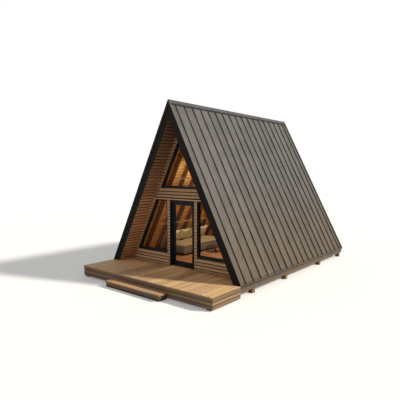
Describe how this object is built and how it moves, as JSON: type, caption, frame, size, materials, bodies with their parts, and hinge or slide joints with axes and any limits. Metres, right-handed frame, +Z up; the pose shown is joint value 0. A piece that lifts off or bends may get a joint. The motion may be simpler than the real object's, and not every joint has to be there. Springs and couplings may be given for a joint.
{
  "type": "a-frame cabin",
  "caption": "A-frame cabin with a steep standing-seam metal roof, glazed gable walls, a glazed door, a raised timber deck and a box step.",
  "frame": {"origin": "on the ground, in the middle of the footprint of roof, deck and step", "axes": "+X to the right seen from the deck, +Y from the deck to the back gable along the ridge, +Z up"},
  "size_m": [5.356, 8.8, 5.57],
  "materials": {
    "frame_timber": "rough sawn, weathered",
    "soffit_boards": "oiled reddish-brown boards",
    "deck_boards": "oiled golden-brown boards",
    "floor_boards": "satin red-brown boards",
    "wall_boards": "matt tan-brown boards",
    "black_frames": "satin black",
    "clear_glass": "clear polished",
    "casing_timber": "matt light brown",
    "black_metal": "satin black",
    "roof_structure": "hidden boards and insulation",
    "roof_metal": "satin greige folded sheet",
    "rake_paint": "satin black paint",
    "rafter_timber": "dark brown stain",
    "sofa_cloth": "woven beige",
    "pillow_cloth": "woven light beige",
    "table_timber": "satin dark brown"
  },
  "bodies": {
    "cabin": {"posts": "frame_timber", "joists": "frame_timber", "rim_boards": "soffit_boards", "deck": "deck_boards", "floor": "floor_boards", "deck_skirt": "wall_boards", "step_tread": "deck_boards", "step_riser": "wall_boards", "front_wall_right": "wall_boards", "front_wall_left": "wall_boards", "front_wall_top": "wall_boards", "back_wall_right": "wall_boards", "back_wall_left": "wall_boards", "back_wall_top": "wall_boards", "front_window_frames": "black_frames", "back_window_frames": "black_frames", "window_glass": "clear_glass", "casings": "casing_timber", "head_trims": "casing_timber", "door_frame": "black_frames", "threshold": "black_frames", "frame_hinges": "black_metal", "roof_core_right": "roof_structure", "roof_core_left": "roof_structure", "lining_right": "soffit_boards", "lining_left": "soffit_boards", "roof_skin_right": "roof_metal", "roof_skin_left": "roof_metal", "ridge_cap": "roof_metal", "front_rake_right": "rake_paint", "front_rake_left": "rake_paint", "back_rake_right": "rake_paint", "back_rake_left": "rake_paint", "rake_trim": "rake_paint", "verge_sheets": "roof_metal", "ridge_beam": "rafter_timber", "rafters": "rafter_timber", "ledges": "rafter_timber", "purlins": "rafter_timber", "sofa_base": "sofa_cloth", "sofa_seats": "sofa_cloth", "sofa_pillows": "pillow_cloth", "coffee_table": "table_timber"},
    "door": {"door_leaf": "black_frames", "door_glass": "clear_glass", "leaf_hinges": "black_metal", "door_handles": "black_metal"}
  },
  "joints": [
    {"name": "door_hinge", "type": "hinge", "parent": "cabin", "child": "door", "pos_m": [-0.4725, -2.125, 1.4], "axis": [0, 0, 1], "range_deg": [0, 90]}
  ]
}
